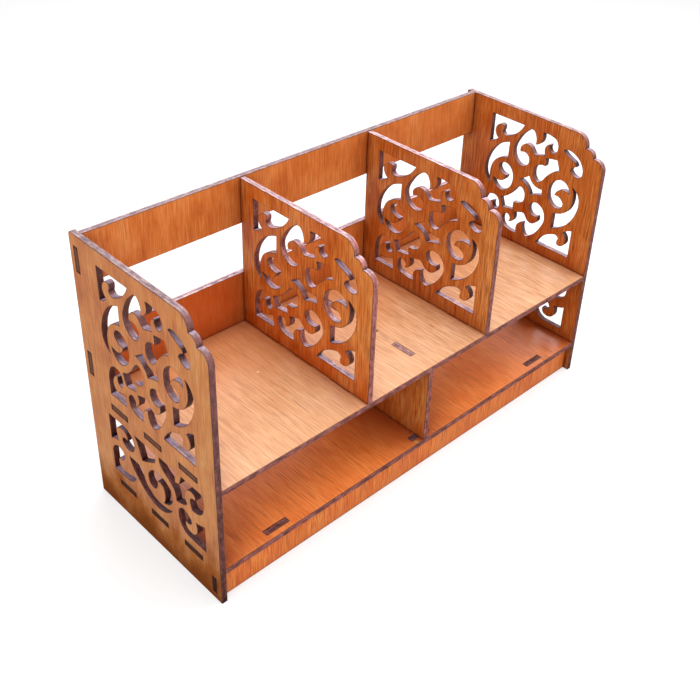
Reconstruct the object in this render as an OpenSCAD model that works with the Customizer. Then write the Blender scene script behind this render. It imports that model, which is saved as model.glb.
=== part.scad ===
// Slot-together desktop rack in stained plywood sheet, with pierced scroll panels.
// X runs left to right, Y runs front to back, Z is up. The rack stands on Z = 0. Millimetres.

/* [Overall size] */
// Width over the outer faces of the two side panels
rack_w = 428; // [400:1:560]
// Depth of the side panels, front edge to rear edge
rack_d = 160; // [160:1:200]
// Height of the side panels
rack_h = 244; // [244:1:300]
// Thickness of the plywood sheet that every piece is cut from
sheet_t = 5; // [4:0.1:6]

/* [Shelves] */
// Height of the upper shelf's top face
upper_shelf_z = 109; // [106:0.5:112]
// Height of the bottom shelf's top face
bottom_shelf_z = 33; // [30:0.5:35]
// Distance of each divider's centre from the middle of the rack
divider_x = 69.2; // [40:0.1:100]
// How far a divider's top edge lies below the side panels' top edge
divider_drop = 1; // [0:0.1:4]

/* [Rails and apron] */
// Gap between the rear face of the rails and the rear edge of the side panels
rail_inset = 5; // [3:0.5:8]
// Height of the top rail
top_rail_h = 41; // [36:0.5:50]
// Height of the lower rail above the upper shelf
lower_rail_h = 48; // [40:0.5:60]
// Distance of the apron's front face behind the shelves' front edges
apron_inset = 5.5; // [3:0.5:10]
// Distance of the apron's outer tabs from the middle of the rack
apron_tab_x = 156.2; // [120:0.1:170]

/* [Joints] */
// Length of a tab along its edge
tab_len = 21.4; // [16:0.1:22]
// Length of the tabs at the apron's ends
apron_end_tab = 15; // [10:0.5:18]
// Clearance on every side of a tab in its slot
slot_gap = 0.1; // [0.05:0.05:0.3]

/* [Finish] */
// Stain on the side panels and dividers
panel_colour = [0.66, 0.36, 0.17];
// Stain on the rails and apron
rail_colour = [0.62, 0.28, 0.10];
// Stain on the shelves
shelf_colour = [0.80, 0.53, 0.33];

/* [Hidden] */
// Short runs in each stretch of a scroll's curve, and degrees per run on the scalloped corner
curve_runs = 4;
arc_step = 15;

half_w = rack_w / 2;
inner_half_w = half_w - sheet_t;
shelf_d = rack_d - rail_inset - sheet_t;
front_y = -rack_d / 2;
rail_y = front_y + shelf_d;
partition_h = upper_shelf_z - sheet_t - bottom_shelf_z;
apron_h = bottom_shelf_z - sheet_t;
divider_h = rack_h - divider_drop - upper_shelf_z;
top_rail_z = rack_h - top_rail_h;
top_rail_mid = rack_h - top_rail_h / 2;
lower_rail_mid = upper_shelf_z + lower_rail_h / 2;

// Distances from the front edge to the middles of the three tabs on a front-to-back edge:
// tabs and gaps share the edge in seven equal lengths.
depth_tabs = [for (i = [1.5, 3.5, 5.5]) shelf_d * i / 7];

// Lobes of the scalloped front corner, from the front edge up to the top edge. Each is
// [distance back from the front edge, distance below the top edge, radius, last angle].
lobe_overrun = 75;
scallop = [[9.1, 28.1, 9.1, lobe_overrun], [18.5, 19, 7, lobe_overrun], [31.3, 11, 11, 90]];
rear_corner_r = 2;

// Pierced scrolls. A point is [back, up] on a smooth stretch and [back, up, 1] at a sharp corner.
// The upper scrolls are drawn about the middle of their field, for a side panel.
corner_scroll = [[15, 55.6, 1], [52.6, 55.6, 1], [52.6, 27.6, 1], [47.6, 29.6], [43.6, 33.1, 1],
    [47, 36.8], [47.8, 41.3], [45.3, 46], [41.5, 48.1], [38.3, 47.3, 1], [38.1, 43.6], [38.9, 40.9],
    [37, 38.8], [30.2, 40.1], [22.3, 45.4]];
crescent = [[29.4, 33.6, 1], [29.7, 17.4, 1], [37.5, 15.2], [44.6, 9.6], [48.2, 1.5], [48.8, -5],
    [46.5, -15.1, 1], [51, -12], [54.2, -6.5], [55, -0.5], [52.6, 11], [47.6, 20.4], [40.5, 28]];
comma = [[43.8, -7.7, 1], [40, -15.1], [34, -17.7], [27, -14.8], [22.1, -8.3], [21, -1.2], [23, 6.5],
    [26.7, 10.2], [31.7, 11.6], [36.8, 9.2], [38.2, 5.2], [35.2, 0.9], [28, -0.5, 1], [29.2, -3.8],
    [32.8, -7.6], [38, -9]];
hook = [[-8, 55.4, 1], [-9, 50], [-7.2, 45], [-1.3, 41.4, 1], [-0.9, 49], [2.7, 54.2], [11, 49.4],
    [18.2, 39.6], [22.1, 28.5], [19, 19.2], [10.5, 15.3], [4.6, 19], [4.1, 25.8], [7.5, 29.2],
    [14.3, 28.4, 1], [14.9, 32.4], [12.8, 36], [7.8, 38.7], [3.2, 37.4], [0.5, 34.2], [-2, 31.7],
    [-7, 32.7], [-13.3, 35.1, 1], [-12.1, 41.2], [-15.1, 46], [-18.4, 47.1, 1], [-17.4, 42.6],
    [-20.8, 39.6], [-25.2, 42.6], [-26, 47], [-23.6, 53], [-17.5, 55.4]];
bone = [[-27.3, 34.7, 1], [-29.3, 29.5], [-30.9, 24.8, 1], [-24, 21.5], [-17, 14.2], [-12, 7.5],
    [-8.8, 6], [-5, 8.7], [-3.4, 14.5], [-4.9, 20.5], [-9.5, 23.8], [-15.1, 24.4, 1], [-15.5, 28.5],
    [-14.8, 32.4, 1], [-21, 33.8]];
diamond = [[-13.5, 0.2, 1], [-4.5, 1.2], [2.5, 8.6, 1], [9, 3.8], [12.5, 1.6, 1], [6, -0.6],
    [1.2, -5.2], [-1.3, -9.8, 1], [-8, -6.8], [-14, -5.6, 1]];
tooth_crescent = [[-31.3, 46.9, 1], [-34, 44.8], [-40, 41.6], [-45.3, 39], [-46.7, 35.9, 1],
    [-43.7, 34.4], [-41.2, 30.6, 1], [-44.2, 27.6], [-48.8, 26.2], [-52.6, 27.8], [-53.8, 32],
    [-53, 36.8], [-49.5, 42.6], [-44, 46.7], [-38, 48.6], [-33.7, 48.5]];
rear_scroll = [[31.9, -55.6, 1], [33, -44.8, 1], [38, -46.7], [43.6, -48.1], [47.2, -43.3],
    [46.3, -37.1], [42.8, -33.3], [39.5, -32.4, 1], [40.7, -36.4], [38.6, -39.9], [35.3, -39.4],
    [33.6, -35.3], [34.3, -30.3], [37.5, -26.4], [42, -25.8], [47.5, -28], [51.3, -34.6],
    [52.7, -43.3, 1], [52.7, -55.6, 1]];

// The lower scrolls are drawn from the side panel's bottom front corner.
lower_scrolls = [
    [[16, 41, 1], [16, 65.7, 1], [20.5, 63.6], [26.7, 62.2, 1], [25.3, 56.5], [26.8, 50.6], [33, 47.2],
        [39.3, 50], [39.8, 54.8, 1], [36.2, 54.6], [32.6, 56.8], [33.2, 61], [37, 64], [42.2, 65],
        [46.8, 61.2], [48, 54.5], [45.6, 46.2], [37.5, 41, 1]],
    [[17.3, 96, 1], [16, 92.5], [16, 84], [17.2, 79], [21.5, 74.2], [30, 72.4, 1], [31.6, 77],
        [31.4, 82.2], [28.7, 84.1], [25.3, 84.6, 1], [26, 88], [29.5, 90], [34.5, 88.8], [38, 83.8],
        [38.3, 78], [36.4, 74.2, 1], [39.5, 70.8], [44, 69], [49.5, 67.3, 1], [50, 72.5], [52, 77.3],
        [58, 82], [66.5, 88.2], [68.4, 92], [68, 96, 1], [50.2, 96, 1], [48.9, 93], [49.8, 89.5],
        [49.8, 85, 1], [47, 86], [44.8, 86.6, 1], [43, 91.5], [41.5, 96, 1]],
    [[73.2, 96, 1], [74.1, 91], [75.3, 86.4, 1], [82, 82.4], [92, 77, 1], [94.6, 85], [96.6, 90.5],
        [100, 96, 1]],
    [[66.8, 52.3, 1], [59.5, 56], [55.3, 62.5], [55.4, 69.5], [59.5, 74.8], [66.5, 77.7], [75.5, 77.7],
        [82, 73.8], [85.6, 66.5], [83.5, 60.3], [79.3, 59], [75, 62], [73.8, 66.5], [73.2, 70, 1],
        [68.5, 69.8], [65, 66], [64.3, 60]],
    [[57, 51, 1], [65, 44], [75, 40.9], [86, 43.2], [98, 51], [107, 61], [110.4, 69, 1],
        [93.2, 69, 1], [91.8, 65.5], [91.6, 61], [86.5, 53.3], [78, 48.8], [69, 48.2]],
    [[116, 96, 1], [134.3, 96, 1], [134.4, 72.3, 1], [129.5, 74.8], [124, 75.8, 1], [125.6, 81.5],
        [125.4, 87.5], [121, 90.9], [115, 91.3], [111, 88.2], [111.3, 83.2, 1], [115.3, 84.1],
        [118.2, 80.6], [115.5, 76.6], [109.5, 75.2], [103.8, 78.3], [102, 85], [105, 91.8],
        [110.3, 95.3]],
    [[103.8, 51.8, 1], [109.5, 49.4], [116, 47.6], [122.5, 47.2], [127, 51], [125.8, 57.4, 1],
        [121.5, 57.4], [118.4, 61.5], [119.3, 66.5], [124, 68.6], [131, 66.3], [134.4, 61, 1],
        [134.4, 41.2, 1], [116, 41.2, 1], [108.5, 44.5]]];

// Middle of the upper scroll field on a side panel and on a divider.
side_field = [74, 175.4];
divider_field = [75.2, 176.8];
// A divider's scrolls are wider and lower than a side panel's; its crescents widen less.
plain = [1, 1];
divider_stretch = [1.125, 0.975];
crescent_stretch = [1.075, 0.975];
tooth_drop = [-0.8, -3];
// The hook and bone pairs turn about a point this far behind the field's middle.
pair_shift = [1.5, 0.1];

// Unit vector along v.
function unit(v) = v / norm(v);

// Direction of the circle through a, b and c, at b.
function run_through(a, b, c) = unit(unit(b - a) * norm(c - b) + unit(c - b) * norm(b - a));

// Direction at the far end of chord d when the near end's direction is u, as on an arc.
function mirrored(u, d) = 2 * (u * unit(d)) * unit(d) - u;

function flat(p) = [p[0], p[1]];
function is_corner(p) = len(p) > 2;

// Points of the curve from p1 up to but not including p2; p0 and p3 are the neighbours.
function stretch_points(p0, p1, p2, p3) =
    let (a = flat(p0), b = flat(p1), c = flat(p2), e = flat(p3), d = c - b)
    is_corner(p1) && is_corner(p2) ? [b] :
    let (
        through_b = is_corner(p1) ? mirrored(run_through(b, c, e), d) : run_through(a, b, c),
        through_c = is_corner(p2) ? mirrored(through_b, d) : run_through(b, c, e),
        m = norm(d))
    [for (i = [0:curve_runs - 1])
        let (s = i / curve_runs)
        (2 * s * s * s - 3 * s * s + 1) * b + (s * s * s - 2 * s * s + s) * m * through_b
            + (3 * s * s - 2 * s * s * s) * c + (s * s * s - s * s) * m * through_c];

// Closed outline through a scroll's points.
function curve(pts) =
    let (n = len(pts))
    [for (i = [0:n - 1])
        each stretch_points(pts[(i + n - 1) % n], pts[i], pts[(i + 1) % n], pts[(i + 2) % n])];

// A scroll placed in a field: turned by half a turn when turn is -1, stretched, and moved.
function placed(pts, turn, shift, stretch, middle) =
    [for (p = curve(pts)) [
        (p[0] * turn + shift[0]) * stretch[0] + middle[0],
        (p[1] * turn + shift[1]) * stretch[1] + middle[1]]];

// The thirteen upper scrolls: five that appear twice, the second half a turn round, and three singles.
function upper_scrolls(stretch, crescents, tooth_shift, middle) = concat(
    [for (s = [corner_scroll, comma], turn = [1, -1]) placed(s, turn, [0, 0], stretch, middle)],
    [for (s = [hook, bone], turn = [1, -1]) placed(s, turn, pair_shift, stretch, middle)],
    [for (s = [diamond, rear_scroll]) placed(s, 1, [0, 0], stretch, middle)],
    [for (turn = [1, -1]) placed(crescent, turn, [0, 0], crescents, middle)],
    [placed(tooth_crescent, 1, tooth_shift, crescents, middle)]);

// Corner points of a rectangle with its middle at c.
function rectangle(c, w, h) = [
    [c[0] - w / 2, c[1] - h / 2], [c[0] + w / 2, c[1] - h / 2],
    [c[0] + w / 2, c[1] + h / 2], [c[0] - w / 2, c[1] + h / 2]];

// A slot for a tab of the given size: the tab plus its clearance.
function slot(c, w, h) = rectangle(c, w + 2 * slot_gap, h + 2 * slot_gap);

// Scalloped corner of a panel whose top edge is at height h, from the top edge down to the front edge.
function scalloped_corner(h) = [for (k = [len(scallop) - 1:-1:0])
    let (c = scallop[k])
    for (a = [c[3]:arc_step:180]) [c[0] + c[2] * cos(a), h - c[1] + c[2] * sin(a)]];

// Top rear corner of a side panel, rounded.
function rounded_rear_corner() = [for (a = [0:arc_step * 2:90])
    [rack_d - rear_corner_r * (1 - cos(a)), rack_h - rear_corner_r * (1 - sin(a))]];

// One sheet with cut-outs: outlines are in the sheet's own plane.
module cut_sheet(outer, holes) {
    loops = concat([outer], holes);
    starts = [for (i = 0, at = 0; i < len(loops); at = at + len(loops[i]), i = i + 1) at];
    linear_extrude(height = sheet_t)
        polygon(
            points = [for (loop = loops) each loop],
            paths = [for (i = [0:len(loops) - 1]) [for (k = [0:len(loops[i]) - 1]) starts[i] + k]]);
}

// A sheet that stands front to back, its left face at x.
module upright(x) {
    translate([x, front_y, 0])
        rotate([90, 0, 90])
            children();
}

// A sheet that faces the front, its front face at y.
module facing_front(y) {
    translate([0, y + sheet_t, 0])
        rotate([90, 0, 0])
            children();
}

// Slots in a side panel for both shelves, both rails and the apron.
function side_slots() = concat(
    [for (y = depth_tabs, z = [upper_shelf_z, bottom_shelf_z]) slot([y, z - sheet_t / 2], tab_len, sheet_t)],
    [for (z = [top_rail_mid, lower_rail_mid]) slot([shelf_d + sheet_t / 2, z], sheet_t, tab_len)],
    [slot([apron_inset + sheet_t / 2, apron_h / 2], sheet_t, apron_end_tab)]);

module side_sheet() {
    outer = concat([[0, 0], [rack_d, 0]], rounded_rear_corner(), scalloped_corner(rack_h));
    lower = [for (s = lower_scrolls) curve(s)];
    cut_sheet(outer, concat(side_slots(), upper_scrolls(plain, plain, [0, 0], side_field), lower));
}

module left_side_panel() {
    color(panel_colour) upright(-half_w) side_sheet();
}

module right_side_panel() {
    color(panel_colour) upright(inner_half_w) side_sheet();
}

// Points of three tabs along the bottom edge of an upright sheet, front to back, standing down by sheet_t.
function tabs_below(z) = [for (y = depth_tabs)
    each [[y - tab_len / 2, z], [y - tab_len / 2, z - sheet_t],
        [y + tab_len / 2, z - sheet_t], [y + tab_len / 2, z]]];

// The same tabs along a top edge, listed back to front and standing up.
function tabs_above(z) = [for (i = [2:-1:0])
    let (y = depth_tabs[i])
    each [[y + tab_len / 2, z], [y + tab_len / 2, z + sheet_t],
        [y - tab_len / 2, z + sheet_t], [y - tab_len / 2, z]]];

// Tabs on the rear edge of a divider, which go through the two rails.
function rear_tabs() = [for (z = [lower_rail_mid, top_rail_mid])
    each [[shelf_d, z - tab_len / 2], [shelf_d + sheet_t, z - tab_len / 2],
        [shelf_d + sheet_t, z + tab_len / 2], [shelf_d, z + tab_len / 2]]];

module divider_sheet() {
    top = upper_shelf_z + divider_h;
    outer = concat([[0, upper_shelf_z]], tabs_below(upper_shelf_z), [[shelf_d, upper_shelf_z]], rear_tabs(),
        [[shelf_d, top]], scalloped_corner(top));
    cut_sheet(outer, upper_scrolls(divider_stretch, crescent_stretch, tooth_drop, divider_field));
}

module left_divider() {
    color(panel_colour) upright(-divider_x - sheet_t / 2) divider_sheet();
}

module right_divider() {
    color(panel_colour) upright(divider_x - sheet_t / 2) divider_sheet();
}

// Outline of a shelf, seen from above, with three tabs into each side panel.
function shelf_outline() = concat(
    [[-inner_half_w, 0], [inner_half_w, 0]],
    [for (y = depth_tabs)
        each [[inner_half_w, y - tab_len / 2], [half_w, y - tab_len / 2],
            [half_w, y + tab_len / 2], [inner_half_w, y + tab_len / 2]]],
    [[inner_half_w, shelf_d], [-inner_half_w, shelf_d]],
    [for (i = [2:-1:0])
        let (y = depth_tabs[i])
        each [[-inner_half_w, y + tab_len / 2], [-half_w, y + tab_len / 2],
            [-half_w, y - tab_len / 2], [-inner_half_w, y - tab_len / 2]]]);

// Slots along a front-to-back line at x, for an upright sheet's three tabs.
function line_of_slots(x) = [for (y = depth_tabs) slot([x, y], sheet_t, tab_len)];

module upper_shelf() {
    holes = [for (x = [-divider_x, 0, divider_x]) each line_of_slots(x)];
    color(shelf_colour)
        translate([0, front_y, upper_shelf_z - sheet_t])
            cut_sheet(shelf_outline(), holes);
}

module bottom_shelf() {
    apron_slots = [for (x = [-apron_tab_x, 0, apron_tab_x])
        slot([x, apron_inset + sheet_t / 2], tab_len, sheet_t)];
    color(shelf_colour)
        translate([0, front_y, bottom_shelf_z - sheet_t])
            cut_sheet(shelf_outline(), concat(line_of_slots(0), apron_slots));
}

module centre_partition() {
    top = bottom_shelf_z + partition_h;
    outer = concat([[0, bottom_shelf_z]], tabs_below(bottom_shelf_z),
        [[shelf_d, bottom_shelf_z], [shelf_d, top]], tabs_above(top), [[0, top]]);
    color(panel_colour) upright(-sheet_t / 2) cut_sheet(outer, []);
}

// Outline of a rail between heights low and high, with a tab end_tab long at each end, round height mid.
function rail_outline(low, high, mid, end_tab, top_edge) =
    concat(
        [[-inner_half_w, low], [inner_half_w, low],
            [inner_half_w, mid - end_tab / 2], [half_w, mid - end_tab / 2],
            [half_w, mid + end_tab / 2], [inner_half_w, mid + end_tab / 2],
            [inner_half_w, high]],
        top_edge,
        [[-inner_half_w, high],
            [-inner_half_w, mid + end_tab / 2], [-half_w, mid + end_tab / 2],
            [-half_w, mid - end_tab / 2], [-inner_half_w, mid - end_tab / 2]]);

// Slots in a rail for the dividers' rear tabs.
function divider_slots(mid) = [for (x = [-divider_x, divider_x]) slot([x, mid], sheet_t, tab_len)];

module back_top_rail() {
    outer = rail_outline(top_rail_z, rack_h, top_rail_mid, tab_len, []);
    color(rail_colour) facing_front(rail_y) cut_sheet(outer, divider_slots(top_rail_mid));
}

// The lower rail also covers the upper shelf's rear edge.
module back_lower_rail() {
    outer = rail_outline(upper_shelf_z - sheet_t, upper_shelf_z + lower_rail_h, lower_rail_mid, tab_len, []);
    color(rail_colour) facing_front(rail_y) cut_sheet(outer, divider_slots(lower_rail_mid));
}

// The apron's three tabs stand up through the bottom shelf.
module front_apron() {
    up_tabs = [for (x = [apron_tab_x, 0, -apron_tab_x])
        each [[x + tab_len / 2, apron_h], [x + tab_len / 2, bottom_shelf_z],
            [x - tab_len / 2, bottom_shelf_z], [x - tab_len / 2, apron_h]]];
    color(rail_colour)
        facing_front(front_y + apron_inset)
            cut_sheet(rail_outline(0, apron_h, apron_h / 2, apron_end_tab, up_tabs), []);
}

left_side_panel();
right_side_panel();
left_divider();
right_divider();
upper_shelf();
bottom_shelf();
centre_partition();
front_apron();
back_top_rail();
back_lower_rail();
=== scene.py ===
import math

import bpy
from mathutils import Matrix, Vector


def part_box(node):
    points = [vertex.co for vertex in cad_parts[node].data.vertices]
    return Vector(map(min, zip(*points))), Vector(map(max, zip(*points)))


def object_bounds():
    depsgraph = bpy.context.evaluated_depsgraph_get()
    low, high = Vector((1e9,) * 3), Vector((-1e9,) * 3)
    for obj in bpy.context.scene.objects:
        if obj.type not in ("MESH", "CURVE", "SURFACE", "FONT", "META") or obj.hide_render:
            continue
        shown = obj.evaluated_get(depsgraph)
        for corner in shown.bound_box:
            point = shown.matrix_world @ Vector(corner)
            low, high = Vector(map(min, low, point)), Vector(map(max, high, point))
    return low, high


# Looks for a slot-together desktop rack in stained, varnished plywood. Metres, +Z up, +Y to the
# rear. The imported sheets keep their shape: modifiers ease their rims, and every sheet gets its own
# veneer on its two faces, a charred cut edge, and a burnt rim between the two.

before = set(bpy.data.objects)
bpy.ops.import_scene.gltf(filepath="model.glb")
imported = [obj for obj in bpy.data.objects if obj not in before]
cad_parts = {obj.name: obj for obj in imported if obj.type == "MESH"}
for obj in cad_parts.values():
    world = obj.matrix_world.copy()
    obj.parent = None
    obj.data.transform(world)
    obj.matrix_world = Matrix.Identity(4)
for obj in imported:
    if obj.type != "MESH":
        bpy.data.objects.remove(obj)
cad_low, cad_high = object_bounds()

MM = 0.001
X_AXIS, Y_AXIS, Z_AXIS = 0, 1, 2
AXES = (X_AXIS, Y_AXIS, Z_AXIS)
LOW, HIGH = 0, 1

FRONT_Y = cad_low[Y_AXIS]
SHELF_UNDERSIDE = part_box("upper_shelf")[LOW][Z_AXIS]
UPPER_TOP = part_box("upper_shelf")[HIGH][Z_AXIS]
LOWER_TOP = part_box("bottom_shelf")[HIGH][Z_AXIS]
RAIL_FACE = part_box("back_lower_rail")[LOW][Y_AXIS]


# ---------------------------------------------------------------- rims, by geometry nodes

MERGE_WITHIN = 0.01 * MM
FLAT_WITHIN = math.radians(0.3)
RIM_WIDTH = 0.26 * MM
RIM_ANGLE = math.radians(50)
SMOOTH_ANGLE = math.radians(32)
# A mesh edge lies in the sheet's plane if less than this share of its direction is across the sheet.
ACROSS_BELOW = 0.5
# A polygon is cut edge if less of its normal than the first share points across the sheet, face if
# more than the second does, and rim between them.
CUT_BELOW, FACE_ABOVE = 0.4, 0.9
CUT_SLOT, RIM_SLOT = 1, 2


def geometry_group(name):
    """A geometry node group with one geometry in and one out: (group, its input, its output)."""
    group = bpy.data.node_groups.new(name, "GeometryNodeTree")
    group.interface.new_socket("Geometry", in_out="INPUT", socket_type="NodeSocketGeometry")
    group.interface.new_socket("Geometry", in_out="OUTPUT", socket_type="NodeSocketGeometry")
    start = group.nodes.new("NodeGroupInput").outputs[0]
    end = group.nodes.new("NodeGroupOutput").inputs[0]
    return group, start, end


def place(group, kind, links, **settings):
    """Adds a node, applies its settings, and feeds each named input with a value or an output."""
    made = group.nodes.new(kind)
    for key, value in settings.items():
        setattr(made, key, value)
    for key, value in links.items():
        socket = made.inputs[key]
        if isinstance(value, bpy.types.NodeSocket):
            group.links.new(value, socket)
        else:
            socket.default_value = value
    return made


def along_axis(group, direction, axis):
    """How far a unit direction points along an axis, without its sign."""
    unit = [0.0, 0.0, 0.0]
    unit[axis] = 1.0
    dot = place(group, "ShaderNodeVectorMath", {0: direction, 1: unit}, operation="DOT_PRODUCT")
    return place(group, "ShaderNodeMath", {0: dot.outputs["Value"]}, operation="ABSOLUTE").outputs[0]


def compared(group, a, b, operation):
    return place(group, "FunctionNodeCompare", {"A": a, "B": b}, data_type="FLOAT",
                 operation=operation).outputs["Result"]


def both(group, a, b):
    return place(group, "FunctionNodeBooleanMath", {0: a, 1: b}, operation="AND").outputs[0]


def edge_angle(group):
    return group.nodes.new("GeometryNodeInputMeshEdgeAngle").outputs["Unsigned Angle"]


def merged_group():
    """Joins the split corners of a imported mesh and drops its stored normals."""
    group, start, end = geometry_group("merge_corners")
    plain = place(group, "GeometryNodeRemoveAttribute", {"Geometry": start, "Name": "custom_normal"})
    joined = place(group, "GeometryNodeMergeByDistance",
                   {"Geometry": plain.outputs[0], "Distance": MERGE_WITHIN})
    group.links.new(joined.outputs[0], end)
    return group


def rim_group(axis):
    """Marks for bevelling the edges where a sheet's two faces meet its cut edge."""
    group, start, end = geometry_group(f"mark_rims_{axis}")
    ends = group.nodes.new("GeometryNodeInputMeshEdgeVertices")
    span = place(group, "ShaderNodeVectorMath",
                 {0: ends.outputs["Position 1"], 1: ends.outputs["Position 2"]}, operation="SUBTRACT")
    run = place(group, "ShaderNodeVectorMath", {0: span.outputs[0]}, operation="NORMALIZE")
    in_plane = compared(group, along_axis(group, run.outputs[0], axis), ACROSS_BELOW, "LESS_THAN")
    bent = compared(group, edge_angle(group), RIM_ANGLE, "GREATER_THAN")
    stored = place(group, "GeometryNodeStoreNamedAttribute",
                   {"Geometry": start, "Name": "bevel_weight_edge", "Value": both(group, in_plane, bent)},
                   data_type="FLOAT", domain="EDGE")
    group.links.new(stored.outputs[0], end)
    return group


def finish_group(axis):
    """Gives the cut edge the second material and its rims the third, and smooths the curves."""
    group, start, end = geometry_group(f"cut_edge_{axis}")
    normal = group.nodes.new("GeometryNodeInputNormal").outputs[0]
    facing = along_axis(group, normal, axis)
    cut = compared(group, facing, CUT_BELOW, "LESS_THAN")
    rim = both(group, compared(group, facing, FACE_ABOVE, "LESS_THAN"),
               compared(group, facing, CUT_BELOW, "GREATER_THAN"))
    for slot, chosen in ((CUT_SLOT, cut), (RIM_SLOT, rim)):
        start = place(group, "GeometryNodeSetMaterialIndex",
                      {"Geometry": start, "Selection": chosen, "Material Index": slot}).outputs[0]
    smooth = place(group, "GeometryNodeSetShadeSmooth",
                   {"Geometry": start, "Shade Smooth": True}, domain="FACE")
    sharp = compared(group, edge_angle(group), SMOOTH_ANGLE, "GREATER_THAN")
    creased = place(group, "GeometryNodeSetShadeSmooth",
                    {"Geometry": smooth.outputs[0], "Selection": sharp, "Shade Smooth": False},
                    domain="EDGE")
    group.links.new(creased.outputs[0], end)
    return group


MERGED = merged_group()
RIMS = {axis: rim_group(axis) for axis in AXES}
FINISHES = {axis: finish_group(axis) for axis in AXES}


def dress(node_name, axis):
    """Adds the modifiers that turn a packed sheet into one with eased rims."""
    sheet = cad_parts[node_name]
    sheet.modifiers.new("merge", "NODES").node_group = MERGED
    flat = sheet.modifiers.new("flat", "DECIMATE")
    flat.decimate_type = "DISSOLVE"
    flat.angle_limit = FLAT_WITHIN
    sheet.modifiers.new("rims", "NODES").node_group = RIMS[axis]
    eased = sheet.modifiers.new("eased", "BEVEL")
    eased.limit_method = "WEIGHT"
    eased.width = RIM_WIDTH
    eased.segments = 1
    eased.use_clamp_overlap = False
    sheet.modifiers.new("finish", "NODES").node_group = FINISHES[axis]
    return sheet


# ---------------------------------------------------------------- building a material

class Look:
    """One material and short calls that add its nodes."""

    def __init__(self, name):
        self.material = bpy.data.materials.new(name)
        self.material.use_nodes = True
        self.tree = self.material.node_tree
        self.tree.nodes.clear()
        point = self.node("ShaderNodeTexCoord", {}).outputs["Object"]
        self.at = self.node("ShaderNodeSeparateXYZ", {0: point}).outputs

    def node(self, kind, links, **settings):
        return place(self.tree, kind, links, **settings)

    def maths(self, operation, a, b=0.0, c=0.0, clamp=False):
        made = self.node("ShaderNodeMath", {0: a, 1: b, 2: c}, operation=operation, use_clamp=clamp)
        return made.outputs[0]

    def times(self, a, b):
        return self.maths("MULTIPLY", a, b)

    def noise(self, vector, detail=2.0, roughness=0.5, distortion=0.0):
        made = self.node("ShaderNodeTexNoise", {"Vector": vector, "Scale": 1.0, "Detail": detail,
                                                "Roughness": roughness, "Distortion": distortion})
        return made.outputs["Fac"]

    def layers(self, table, axes, start):
        """The noises of a table such as GRAIN, by name."""
        return {key: self.noise(self.stretched(axes, scales, start), *shape)
                for key, (scales, *shape) in table.items()}

    def between(self, value, low, high, to_low=0.0, to_high=1.0):
        """Maps low..high to to_low..to_high, held at the ends."""
        made = self.node("ShaderNodeMapRange", {"Value": value, "From Min": low, "From Max": high,
                                                "To Min": to_low, "To Max": to_high}, clamp=True)
        return made.outputs[0]

    def summed(self, start, layers):
        """The start value plus every (layer, strength), with each layer taken about its middle, 0.5."""
        for layer, strength in layers:
            start = self.maths("MULTIPLY_ADD", self.maths("SUBTRACT", layer, 0.5), strength, start)
        return start

    def ramp(self, value, stops):
        made = self.node("ShaderNodeValToRGB", {"Fac": value})
        elements = made.color_ramp.elements
        while len(elements) < len(stops):
            elements.new(0.5)
        for element, (position, colour) in zip(elements, stops):
            element.position = position
            element.color = (*colour, 1.0)
        return made.outputs["Color"]

    def mixed(self, share, a, b):
        """Colour a, and b by its share. A plain colour may be given for either."""
        ends = [(*end, 1.0) if isinstance(end, tuple) else end for end in (a, b)]
        return self.node("ShaderNodeMix", {0: share, 6: ends[0], 7: ends[1]}, data_type="RGBA").outputs[2]

    def stretched(self, axes, scales, start):
        """Object coordinates in the order of axes, each times its scale, plus a starting offset."""
        parts = [self.maths("MULTIPLY_ADD", self.at[axis], scale, offset)
                 for axis, scale, offset in zip(axes, scales, start)]
        return self.node("ShaderNodeCombineXYZ", dict(enumerate(parts))).outputs[0]

    def even(self, scale):
        """Object coordinates at one scale in every direction."""
        return self.stretched(AXES, (scale, scale, scale), (0, 0, 0))

    def near(self, reach, start, full, most, inside=False):
        """0 in the open, up to most near other surfaces, or, from inside, near the sheet's own edge.

        Closeness within the reach runs from 0 to 1. It counts from start on, and wholly at full.
        """
        made = self.node("ShaderNodeAmbientOcclusion", {"Distance": reach}, inside=inside,
                         only_local=inside, samples=4)
        closeness = self.maths("SUBTRACT", 1.0, made.outputs["AO"])
        return self.between(closeness, start, full, 0.0, most)

    def facing(self, direction):
        """How far the surface faces a unit direction, from -1 to 1."""
        normal = self.node("ShaderNodeNewGeometry", {}).outputs["Normal"]
        dot = self.node("ShaderNodeVectorMath", {0: normal, 1: direction}, operation="DOT_PRODUCT")
        return dot.outputs["Value"]

    def spot(self, middle, radii):
        """1 in the middle of a soft-edged oval on the sheet, 0 outside it."""
        offsets = [self.maths("DIVIDE", self.maths("SUBTRACT", self.at[axis], middle[axis]), radii[axis])
                   for axis in AXES]
        scaled = self.node("ShaderNodeCombineXYZ", dict(enumerate(offsets))).outputs[0]
        away = self.node("ShaderNodeVectorMath", {0: scaled}, operation="LENGTH").outputs["Value"]
        return self.between(away, 0.6, 1.0, 1.0, 0.0)

    def bump(self, height, strength, depth):
        made = self.node("ShaderNodeBump", {"Height": height, "Strength": strength, "Distance": depth})
        return made.outputs[0]

    def finish(self, links):
        shader = self.node("ShaderNodeBsdfPrincipled", links)
        self.node("ShaderNodeOutputMaterial", {"Surface": shader.outputs[0]})
        return self.material


def rgb(r, g, b):
    """Linear colour from 0..255 display values."""
    def linear(c):
        c = c / 255
        return c / 12.92 if c <= 0.04045 else ((c + 0.055) / 1.055) ** 2.4
    return (linear(r), linear(g), linear(b))


def shade(stain, power, gain):
    """A deeper (power over 1) or paler (power under 1) shade of a stain, times a gain."""
    return tuple(min(1.0, gain * part ** power) for part in stain)


def brighter(colour, gain):
    return shade(colour, 1, gain)


def middle_of(name, axis):
    low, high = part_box(name)
    return (low[axis] + high[axis]) / 2


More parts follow.
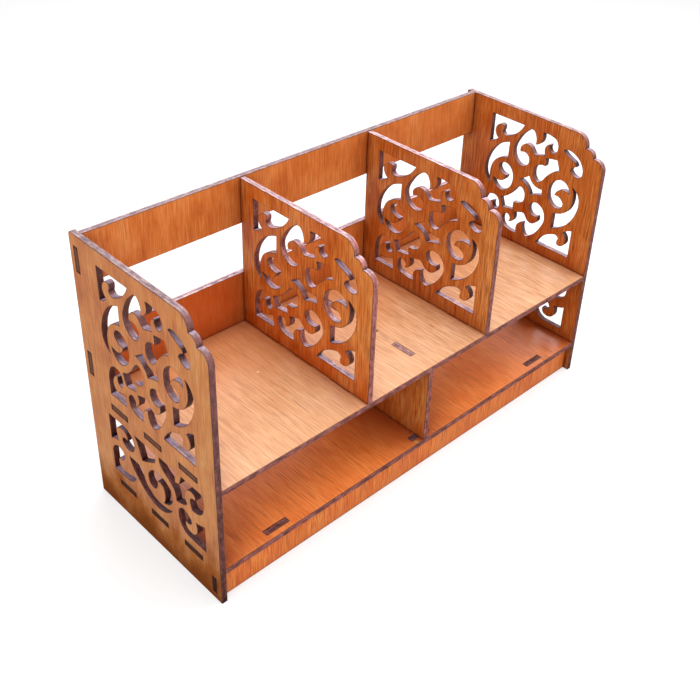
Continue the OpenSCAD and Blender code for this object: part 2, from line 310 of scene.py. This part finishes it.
# ---------------------------------------------------------------- veneer

# Stains, as linear colours.
PANEL = (0.54, 0.130, 0.017)
DEEP_PANEL = (0.46, 0.108, 0.014)
GOLD = (0.67, 0.250, 0.058)
OUTER = (0.60, 0.200, 0.052)
OLIVE = (0.57, 0.217, 0.050)
RAIL = (0.57, 0.158, 0.030)
LOWER_RAIL = (0.59, 0.152, 0.027)
APRON = (0.87, 0.218, 0.032)
SHELF = (0.64, 0.312, 0.138)
LOWER_SHELF = (0.82, 0.213, 0.036)
SCORCH = rgb(84, 38, 16)
# Painted light on the upper shelf.
PAINTED_LIGHT_WOOD = rgb(255, 220, 190)

# Noises in the veneer: cycles per metre across the grain, along it and through the sheet, then
# detail, roughness and distortion. Each sheet starts its noises at its number times GRAIN_STEP.
GRAIN = {
    "bands": ((70, 4, 30), 2.0, 0.5, 0.3),
    "streaks": ((420, 22, 60), 3.0, 0.7),
    "fibres": ((1500, 50, 200), 2.0, 0.6),
    "clouds": ((46, 30, 40), 4.0, 0.6),
    "dashes": ((1500, 42, 300), 1.0),
}
GRAIN_STEP = (1.7, 3.1, 5.3)
# The deepest and palest grain of a stain are shades of it. The power of the deepest differs for a
# face's own stain and for its second stain.
OWN_DEPTH, TINT_DEPTH = 1.55, 1.5
DEEPEST_GAIN = 0.75
PALEST = (0.7, 1.1)
PORE_SHADE = (1.5, 0.45)
# The colour of the painted shade in corners and seams, as a shade of the plan's deep stain.
DUSK_SHADE = (1.6, 0.3)

# What darkens near an edge, the scorch, and near another sheet, painted shade: reach, closeness where
# it starts and where it is full, and strength. The painted shade in corners takes all but its start
# from the sheet's plan.
SCORCHED = (1.0 * MM, 0.0, 0.5, 0.75)
SEAM = (2.6 * MM, 0.15, 0.42, 0.9)
CORNER_REACH = 22.0 * MM
CORNER_START = 0.05

# Stretches over which a look changes: the fibres along X, the second stain with its painted front
# light and the painted corner shade along Y, and the foot colour along Z, with a limit that wavers by
# the clouds.
COARSENING = (-80 * MM, 40 * MM)
FRONT_STRIP = (FRONT_Y, FRONT_Y + 40 * MM)
REARWARD = (-10 * MM, 40 * MM)
FOOT_HEIGHT, FOOT_RAGGED = 55 * MM, 70 * MM

# Strength of the second stain in the strip along the front, painted light, and in the clouds.
FRONT_LIGHT_TINT, CLOUD_TINT = 0.55, 0.35
SATIN = 0.28
ROUGHNESS_LOW, ROUGHNESS_SPREAD = 0.08, 0.3
VARNISH_IOR, VARNISH_ROUGHNESS = 1.7, 0.42


def grain_tone(look, noise, plan):
    """From 0 in the deepest grain to 1 in the palest. The fibres may be coarser towards the right."""
    fibre = look.between(look.at[X_AXIS], *COARSENING, plan["fibre"], plan["fibre"] * plan["coarser"])
    return look.summed(0.5, ((noise["bands"], plan["bands"]), (noise["streaks"], plan["streaks"]),
                             (noise["fibres"], fibre), (noise["clouds"], plan["mottling"])))


def grained(look, tone, stain, depth):
    """A stain that follows the tone from its deepest grain to its palest."""
    return look.ramp(tone, [(0.0, shade(stain, depth, DEEPEST_GAIN)), (0.5, stain),
                            (1.0, shade(stain, *PALEST))])


def pore_share(look, noise):
    """Short dark dashes along the grain, more of them in some bands than in others."""
    threshold = look.between(noise["bands"], 0.35, 0.65, 0.62, 0.52)
    return look.between(noise["dashes"], threshold, look.maths("ADD", threshold, 0.12))


def stained(look, name, noise, tone, plan):
    """Each face's own stain, and a second stain in clouds and, as painted light, in a strip along the
    front.
    """
    thin = plan["thin"]
    far_face = look.maths("GREATER_THAN", look.at[thin], middle_of(name, thin))
    own = look.mixed(far_face, *[grained(look, tone, stain, OWN_DEPTH) for stain in plan["stains"]])
    front = look.between(look.at[Y_AXIS], *FRONT_STRIP, 1.0, 0.0)
    cloudy = look.between(noise["clouds"], 0.45, 0.7, 0.0, CLOUD_TINT)
    tinted = look.maths("MULTIPLY_ADD", front, FRONT_LIGHT_TINT, cloudy)
    tinted = look.maths("MULTIPLY", tinted, plan["tinting"], clamp=True)
    return look.mixed(tinted, own, grained(look, tone, plan["tint"], TINT_DEPTH))


def foot_share(look, noise, plan):
    """The share of the foot stain low on a sheet: darker wood on the left side panel, and painted bounce
    light and shade near a shelf on the other uprights.
    """
    height = look.summed(look.at[Z_AXIS], ((noise["clouds"], FOOT_RAGGED),))
    foot = look.between(height, plan["foot_at"], plan["foot_at"] + FOOT_HEIGHT, 1.0, 0.0)
    return look.times(foot, plan["foot"])


def painted_corner_shade(look, colour, plan):
    """Painted shade: darkens a colour in corners and along the seams between sheets, less towards the
    open rear.
    """
    deep = shade(plan["deep"], *DUSK_SHADE)
    corner = look.near(plan["shelter"], CORNER_START, plan["dusk_full"], plan["dusk"])
    rear = look.between(look.at[Y_AXIS], *REARWARD, 1.0, plan["rear_dusk"])
    colour = look.mixed(look.times(corner, rear), colour, deep)
    return look.mixed(look.near(*SEAM), colour, deep)


def veneer(name, seed, plan):
    """Stained and varnished veneer for the faces of one sheet, after its plan in SHEETS."""
    look = Look(name)
    thin, grain = plan["thin"], plan["grain"]
    across = sum(AXES) - grain - thin
    noise = look.layers(GRAIN, (across, grain, thin), [seed * step for step in GRAIN_STEP])
    tone = grain_tone(look, noise, plan)
    pores = pore_share(look, noise)
    foot_mix = foot_share(look, noise, plan)

    colour = stained(look, name, noise, tone, plan)
    # Darker wood at the left side panel's foot, and painted bounce light and shade near a shelf.
    colour = look.mixed(foot_mix, colour, plan["foot_stain"])
    pore_colour = shade(plan["stains"][LOW], *PORE_SHADE)
    colour = look.mixed(look.times(pores, plan["pores"]), colour, pore_colour)
    for middle, radii, mark, strength in MARKS.get(name, ()):
        colour = look.mixed(look.times(look.spot(middle, radii), strength), colour, mark)
    colour = look.mixed(look.near(*SCORCHED, inside=True), colour, SCORCH)
    # Painted shade in corners and seams.
    colour = painted_corner_shade(look, colour, plan)

    relief = look.maths("SUBTRACT", look.times(noise["fibres"], 0.4), pores)
    rough = look.maths("MULTIPLY_ADD", noise["clouds"], ROUGHNESS_SPREAD, ROUGHNESS_LOW)
    rough = look.maths("MULTIPLY_ADD", noise["streaks"], ROUGHNESS_SPREAD, rough)
    return look.finish({"Base Color": colour, "Roughness": rough,
                        "Normal": look.bump(relief, 0.35, 0.1 * MM),
                        "Specular IOR Level": look.between(foot_mix, 0.0, 0.5, SATIN, 0.0),
                        "Coat Weight": plan["varnish"], "Coat IOR": VARNISH_IOR,
                        "Coat Roughness": VARNISH_ROUGHNESS})


# ---------------------------------------------------------------- cut edges

CHAR_DARK, CHAR, CHAR_PALE = rgb(40, 17, 17), rgb(116, 63, 57), rgb(156, 100, 92)
CHAR_HIGH, CHAR_CORE = rgb(152, 106, 108), rgb(66, 42, 46)
# Char in painted light: a pale painted sheen where a cut edge faces up, with its core and its pockets.
LIT_DARK, LIT, LIT_PALE = rgb(92, 64, 72), rgb(162, 126, 130), rgb(218, 186, 186)
LIT_CORE, LIT_COOL = rgb(84, 68, 82), rgb(176, 158, 188)
# Brown of the tab ends, and the painted shadow of the gap round them.
TAB_WOOD, TAB_GAP_SHADE = rgb(120, 82, 66), rgb(36, 14, 8)
RIM_DARK, RIM_MIDDLE, RIM_PALE = rgb(44, 22, 18), rgb(70, 38, 30), rgb(110, 68, 54)

# Noises in the char, as in GRAIN, with cycles per metre along the two axes of the sheet's plane and
# then across it.
CHAR_NOISE = {
    "waver": ((60, 60, 60), 2.0),
    "dashes": ((300, 300, 700), 2.0, 0.6),
    "score": ((900, 900, 160), 2.0),
    "soot": ((170, 170, 420), 3.0, 0.6),
}
CHAR_STEP = (2.3, 1.1, 4.7)
# Stops of the dark, usual and pale char along the tone.
AT_DARK, AT_USUAL, AT_PALE = 0.2, 0.5, 0.8

# Painted shade on the char, as in SEAM: near other surfaces in pockets and seams, and as a dark outline
# just inside the rim of a tab end, for the shadowed gap round it.
POCKET = (12.0 * MM, 0.1, 0.4, 0.95)
CHAR_SEAM = (2.6 * MM, 0.25, 0.7, 0.8)
TAB_OUTLINE = (2.2 * MM, 0.1, 0.45, 0.9)
CHAR_SHINE, POCKET_SHINE = 0.3, 0.03
# The way a cut edge faces when its painted light is brightest: up, and a little to the rear.
PALE_SIDE = (0.0, 0.35, 0.94)
SIDEWAYS = (1.0, 0.0, 0.0)

# Stretches over which the char changes: upwards, and, as painted light and shade, rearwards, past the
# upper shelf, under it and up the tabs.
UPWARD = (80 * MM, 230 * MM)
OPEN_BACK = (10 * MM, 45 * MM)
PAST_SHELF = (0.95 * SHELF_UNDERSIDE, 1.1 * SHELF_UNDERSIDE)
UNDER_SHELF = (0.0, SHELF_UNDERSIDE)
TAB_LIGHT = (10 * MM, SHELF_UNDERSIDE)


def core_share(look, name, noise, thin):
    """The dark core ply, wavering about the middle of the edge and broken into dashes."""
    low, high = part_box(name)
    depth = look.maths("SUBTRACT", look.at[thin], middle_of(name, thin))
    minus_one_to_one = look.times(depth, 2 / (high[thin] - low[thin]))
    wavering = look.summed(minus_one_to_one, ((noise["waver"], 0.7),))
    core = look.between(look.maths("ABSOLUTE", wavering), 0.1, 0.36, 1.0, 0.0)
    return look.times(core, look.between(noise["dashes"], 0.38, 0.55))


def dark_char(look, tone, core, pocket, gain):
    """Char away from the painted light: greyer high up, and painted shade, darker low down and darkest in
    pockets.
    """
    colour = look.ramp(tone, [(AT_DARK, CHAR_DARK), (AT_USUAL, brighter(CHAR, gain)),
                              (AT_PALE, brighter(CHAR_PALE, gain))])
    colour = look.mixed(look.times(core, 0.35), colour, CHAR_CORE)
    colour = look.mixed(look.between(look.at[Z_AXIS], *UPWARD, 0.0, 0.25), colour, CHAR_HIGH)
    colour = look.mixed(look.between(look.at[Z_AXIS], *UNDER_SHELF, 0.2, 0.0), colour, CHAR_DARK)
    return look.mixed(pocket, colour, CHAR_DARK)


def lit_char(look, tone, core, pocket, gain):
    """Char in the painted light, a pale painted sheen where the edge faces up, cooler in pockets."""
    colour = look.ramp(tone, [(AT_DARK, brighter(LIT_DARK, gain)), (AT_USUAL, brighter(LIT, gain)),
                              (AT_PALE, brighter(LIT_PALE, gain))])
    colour = look.mixed(look.times(core, 0.75), colour, LIT_CORE)
    return look.mixed(look.times(pocket, 0.7), colour, LIT_COOL)


def painted_light_share(look):
    """Where the char takes the painted light, as it faces up towards it. Under the upper shelf, that
    light comes only from the open back.
    """
    upward = look.between(look.facing(PALE_SIDE), 0.4, 0.9)
    above = look.between(look.at[Z_AXIS], *PAST_SHELF, 0.15, 1.0)
    behind = look.between(look.at[Y_AXIS], *OPEN_BACK, 0.0, 0.8)
    return look.times(upward, look.maths("MAXIMUM", above, behind))


def tab_end_share(look):
    """1 on the tab ends that show in the side panels' outer faces."""
    sideways = look.maths("GREATER_THAN", look.maths("ABSOLUTE", look.facing(SIDEWAYS)), 0.9)
    outmost = look.maths("GREATER_THAN", look.maths("ABSOLUTE", look.at[X_AXIS]), cad_high[X_AXIS] - MM)
    return look.times(sideways, outmost)


def tab_end_wood(look):
    """Brown wood with painted shade: darker low down, and inside a dark outline for the shadowed gap
    round the tab.
    """
    height = look.between(look.at[Z_AXIS], *TAB_LIGHT, 0.15, 1.0)
    wood = look.mixed(height, CHAR_DARK, TAB_WOOD)
    return look.mixed(look.near(*TAB_OUTLINE, inside=True), wood, TAB_GAP_SHADE)


def cut_edge(name, seed, plan):
    """Laser-cut edge of three plies: charred, and pale with a painted sheen where it faces up."""
    look = Look(f"{name}_edge")
    thin = plan["thin"]
    in_plane = [axis for axis in AXES if axis != thin]
    noise = look.layers(CHAR_NOISE, (*in_plane, thin), [seed * step for step in CHAR_STEP])
    core = core_share(look, name, noise, thin)
    tone = look.summed(0.5, ((noise["score"], 0.35), (noise["soot"], 1.2)))
    # Painted shade deep in the pockets of the frets.
    pocket = look.near(*POCKET)

    colour = look.mixed(painted_light_share(look), dark_char(look, tone, core, pocket, plan["char"]),
                        lit_char(look, tone, core, pocket, plan["sheen"]))
    shine = look.times(look.between(pocket, 0.0, 1.0, CHAR_SHINE, POCKET_SHINE),
                       look.between(look.at[Z_AXIS], *UNDER_SHELF, 0.3, 1.0))
    if thin != X_AXIS:
        tab_end = tab_end_share(look)
        colour = look.mixed(tab_end, colour, tab_end_wood(look))
        shine = look.times(shine, look.maths("SUBTRACT", 1.0, tab_end))
    # Painted shade on the char in the seams between sheets.
    colour = look.mixed(look.near(*CHAR_SEAM), colour, CHAR_DARK)

    relief = look.maths("SUBTRACT", tone, look.times(core, 0.4))
    return look.finish({"Base Color": colour, "Roughness": 0.45,
                        "Normal": look.bump(relief, 0.5, 0.15 * MM), "Specular IOR Level": shine})


def singed_rim():
    """The narrow burnt rim along every cut."""
    look = Look("singed_rim")
    flakes = look.noise(look.even(380), 3.0, 0.6)
    colour = look.ramp(flakes, [(0.35, RIM_DARK), (0.5, RIM_MIDDLE), (0.68, RIM_PALE)])
    return look.finish({"Base Color": colour, "Roughness": 0.5,
                        "Normal": look.bump(flakes, 0.4, 0.1 * MM)})


# ---------------------------------------------------------------- the ten sheets

# A plan holds, for one sheet:
#   thin, grain      the axis through the sheet, and the axis of its grain
#   stains           the stains of its face on the low side of that axis and on the high side
#   bands, streaks, fibre, mottling, pores
#                    how strongly each of these shows in the grain
#   coarser          how many times stronger the fibres are on the right than on the left
#   tint, tinting    the second stain, also painted light in a strip along the front, and how much
#                    of it there is
#   foot, foot_at, foot_stain
#                    how much of the foot stain the sheet takes low down, the height up to which it
#                    does, and that colour: darker wood on the left side panel, and painted bounce
#                    light and shade near a shelf on the other uprights
#   shelter, dusk, dusk_full
#                    how far the painted shade in a corner reaches, how strong it is, and the closeness
#                    at which it is full
#   rear_dusk        the share of that painted shade that is left at the open rear
#   deep             the stain that the painted shade in corners and seams darkens towards
#   varnish          how glossy its faces are
#   sheen, char      brightness of its cut edge in the painted light and away from it


def upright(stains, **given):
    """The plan of a sheet that stands front to back."""
    usual = {"thin": X_AXIS, "grain": Z_AXIS, "stains": stains,
             "bands": 0.3, "streaks": 0.45, "fibre": 1.6, "mottling": 0.6, "pores": 0.7,
             "coarser": 1.0, "tint": GOLD, "tinting": 0.3,
             "foot": 0.0, "foot_at": 0.0, "foot_stain": shade(stains[LOW], 1.5, 1.4),
             "shelter": CORNER_REACH, "dusk": 0.55, "dusk_full": 0.6, "rear_dusk": 1.0,
             "deep": stains[LOW], "varnish": 0.04, "sheen": 1.0, "char": 1.0}
    return usual | given


def facing_front(stain, **given):
    """The plan of a rail or apron."""
    return upright((stain, stain), thin=Y_AXIS, tinting=0.0, bands=0.5, pores=0.3, fibre=1.2) | given


def level(stain, **given):
    """The plan of a shelf."""
    return upright((stain, stain), thin=Z_AXIS, grain=Y_AXIS, tinting=0.0, pores=0.3, fibre=1.8) | given


SHEETS = {
    "left_side_panel": upright((OUTER, PANEL), mottling=1.1, pores=0.4, streaks=0.35, fibre=1.1,
                               tint=OLIVE, tinting=0.9, foot=0.95, foot_stain=shade(OUTER, 1.2, 0.34),
                               sheen=0.65, char=0.75),
    "right_side_panel": upright((DEEP_PANEL, OUTER), tinting=0.5, foot=0.25, foot_at=SHELF_UNDERSIDE),
    "left_divider": upright((PANEL, PANEL), tinting=1.2, foot=0.45, foot_at=SHELF_UNDERSIDE,
                            sheen=1.2, char=2.0),
    "right_divider": upright((DEEP_PANEL, PANEL), tinting=1.1, foot=0.1, foot_at=SHELF_UNDERSIDE,
                             sheen=1.35, char=1.3),
    "centre_partition": upright((DEEP_PANEL, DEEP_PANEL), tinting=0.8, foot=0.6, char=1.6),
    "back_top_rail": facing_front(RAIL, fibre=1.0, mottling=1.0, sheen=0.7),
    "back_lower_rail": facing_front(LOWER_RAIL, fibre=0.9, mottling=0.7, sheen=1.4),
    "front_apron": facing_front(APRON, bands=0.7, fibre=1.6, pores=0.8, sheen=0.45),
    "upper_shelf": level(SHELF, streaks=0.16, fibre=1.2, coarser=1.8, mottling=0.4, pores=0.5,
                         deep=LOWER_SHELF, varnish=0.5, char=1.4),
    "bottom_shelf": level(LOWER_SHELF, streaks=0.3, fibre=1.3, mottling=0.6, pores=0.6,
                          shelter=60 * MM, dusk=1.0, dusk_full=0.42, rear_dusk=0.05,
                          varnish=0.9, char=1.6),
}

# Marks and patches in the veneer, some of them painted light and shade: (middle, radii, colour,
# strength).
MARKS = {
    "upper_shelf": (
        # A pin knot in the left bay, a resin streak in the middle bay, and painted shade in the gap by
        # the rear tab.
        ((-108.4 * MM, 6.5 * MM, UPPER_TOP), (1.7 * MM, 0.9 * MM, MM), rgb(250, 214, 178), 1.0),
        ((-108.8 * MM, 5.3 * MM, UPPER_TOP), (1.1 * MM, 0.6 * MM, MM), rgb(132, 66, 34), 1.0),
        ((42.0 * MM, -40.7 * MM, UPPER_TOP), (0.8 * MM, 4.2 * MM, MM), rgb(150, 66, 34), 1.0),
        ((-3.2 * MM, 32.5 * MM, UPPER_TOP), (0.7 * MM, 6.0 * MM, MM), rgb(40, 12, 8), 1.0),
        # Painted shade, redder towards the rear, and painted light, paler along the front and in the
        # middle bay.
        ((0.0, 85 * MM, UPPER_TOP), (500 * MM, 105 * MM, MM), RAIL, 0.4),
        ((0.0, -95 * MM, UPPER_TOP), (500 * MM, 75 * MM, MM), PAINTED_LIGHT_WOOD, 0.08),
        ((-15.0 * MM, -48.0 * MM, UPPER_TOP), (54 * MM, 50 * MM, MM), PAINTED_LIGHT_WOOD, 0.06),
    ),
    "back_lower_rail": (
        # Painted shade, redder behind the left bay.
        ((-145 * MM, RAIL_FACE, 130 * MM), (95 * MM, MM, 60 * MM), rgb(176, 56, 6), 0.5),
    ),
    "bottom_shelf": (
        # Bare wood where a splinter came off in front of the apron's middle tab.
        ((-8.3 * MM, -77.2 * MM, LOWER_TOP), (2.0 * MM, 2.4 * MM, MM), rgb(236, 196, 120), 1.0),
        # Painted shadow, darker on the right of the centre partition.
        ((22 * MM, 0.0, LOWER_TOP), (38 * MM, 60 * MM, MM), rgb(126, 54, 18), 0.4),
    ),
}

RIM_LOOK = singed_rim()
for seed, (name, plan) in enumerate(SHEETS.items(), start=1):
    sheet = dress(name, plan["thin"])
    sheet.material_slots[0].material = veneer(name, seed, plan)
    sheet.data.materials.append(cut_edge(name, seed, plan))
    sheet.data.materials.append(RIM_LOOK)


# ---------------------------------------------------------------- floor, light and camera

FLOOR_HALF = 6.0
FLOOR_DARK, FLOOR_PALE = (0.43, 0.43, 0.43), (0.45, 0.45, 0.45)
FLOOR_GLOW = 0.5
FLOOR_FADE = (0.5, 1.6)
BLACK = (0.0, 0.0, 0.0)
WHITE = (1.0, 1.0, 1.0, 1.0)

SKY_ABOVE, SKY_BELOW = 0.45, 0.48
SKY_BLEND = 0.2
BACKDROP = 0.95

# Name: (place, size, power in watts). All of them face AIM.
AIM = Vector((0.0, 0.0, 0.1))
SOFTBOXES = {
    "window": ((0.95, 1.05, 1.15), (1.6, 1.2), 14.5),
    "overhead": ((0.0, -0.1, 1.6), (1.3, 1.3), 19.0),
    "front": ((0.1, -1.5, 0.8), (1.6, 1.2), 9.0),
    "left": ((-1.5, -0.2, 0.8), (1.4, 1.2), 9.5),
    "right": ((1.5, -0.3, 0.8), (1.4, 1.2), 17.0),
    "corner": ((-1.1, -1.1, 0.9), (1.2, 1.2), 7.0),
}

CAMERA_SENSOR, CAMERA_LENS = 36.0, 51.452
CAMERA_SHIFT = (-0.0496, -0.1056)
CAMERA_CLIP = (0.01, 50.0)
CAMERA_PLACE = Vector((-0.49681, -0.49198, 0.59590))
CAMERA_AZIMUTH = math.radians(-46.61)
CAMERA_TILT = math.radians(90 - 32.06)
CAMERA_ROLL = math.radians(3.185)


def floor_paper():
    """Pale paper that far out glows as brightly as the backdrop, so that no horizon shows."""
    look = Look("floor_paper")
    colour = look.ramp(look.noise(look.even(3)), [(0.3, FLOOR_DARK), (0.7, FLOOR_PALE)])
    spread = look.node("ShaderNodeCombineXYZ", {0: look.at[X_AXIS], 1: look.at[Y_AXIS]}).outputs[0]
    away = look.node("ShaderNodeVectorMath", {0: spread}, operation="LENGTH").outputs["Value"]
    far = look.between(away, *FLOOR_FADE)
    glow = look.between(far, 0.0, 1.0, FLOOR_GLOW, BACKDROP)
    return look.finish({"Base Color": look.mixed(far, colour, BLACK), "Roughness": 0.8,
                        "Emission Color": WHITE, "Specular IOR Level": 0.0, "Emission Strength": glow})


def floor():
    """A level square under the rack that adds no light or reflection to it."""
    mesh = bpy.data.meshes.new("floor")
    h = FLOOR_HALF
    mesh.from_pydata([(-h, -h, 0.0), (h, -h, 0.0), (h, h, 0.0), (-h, h, 0.0)], [], [(0, 1, 2, 3)])
    mesh.materials.append(floor_paper())
    plane = bpy.data.objects.new("floor", mesh)
    bpy.context.scene.collection.objects.link(plane)
    plane.visible_diffuse = False
    plane.visible_glossy = False


def softbox(name, position, size, power):
    """A rectangle of light that faces the rack and isn't seen by the camera."""
    data = bpy.data.lights.new(name, "AREA")
    data.shape = "RECTANGLE"
    data.size, data.size_y = size
    data.energy = power
    lamp = bpy.data.objects.new(name, data)
    lamp.location = position
    lamp.rotation_mode = "QUATERNION"
    lamp.rotation_quaternion = (AIM - Vector(position)).to_track_quat("-Z", "Y")
    lamp.visible_camera = False
    bpy.context.scene.collection.objects.link(lamp)


def sky():
    """Even light from above and from below the horizon, and a backdrop that only the camera sees."""
    world = bpy.data.worlds.new("studio")
    world.use_nodes = True
    tree = world.node_tree
    direction = place(tree, "ShaderNodeTexCoord", {}).outputs["Generated"]
    height = place(tree, "ShaderNodeSeparateXYZ", {0: direction}).outputs[Z_AXIS]
    strength = place(tree, "ShaderNodeMapRange",
                     {"Value": height, "From Min": -SKY_BLEND, "From Max": SKY_BLEND,
                      "To Min": SKY_BELOW, "To Max": SKY_ABOVE}, clamp=True).outputs[0]
    seen = place(tree, "ShaderNodeLightPath", {}).outputs["Is Camera Ray"]
    shown = place(tree, "ShaderNodeMix", {0: seen, 2: strength, 3: BACKDROP}).outputs[0]
    tree.links.new(shown, tree.nodes["Background"].inputs["Strength"])
    tree.nodes["Background"].inputs["Color"].default_value = WHITE
    bpy.context.scene.world = world


def camera():
    """The camera at the viewing angle, a little rolled, with its picture plane shifted."""
    data = bpy.data.cameras.new("camera")
    data.sensor_width = CAMERA_SENSOR
    data.lens = CAMERA_LENS
    data.shift_x, data.shift_y = CAMERA_SHIFT
    data.clip_start, data.clip_end = CAMERA_CLIP
    eye = bpy.data.objects.new("camera", data)
    turn = Matrix.Rotation(CAMERA_AZIMUTH, 4, "Z") @ Matrix.Rotation(CAMERA_TILT, 4, "X")
    eye.matrix_world = Matrix.Translation(CAMERA_PLACE) @ turn @ Matrix.Rotation(CAMERA_ROLL, 4, "Z")
    bpy.context.scene.collection.objects.link(eye)
    bpy.context.scene.camera = eye


floor()
sky()
for name, (position, size, power) in SOFTBOXES.items():
    softbox(name, position, size, power)
camera()
bpy.context.scene.view_settings.view_transform = "Standard"
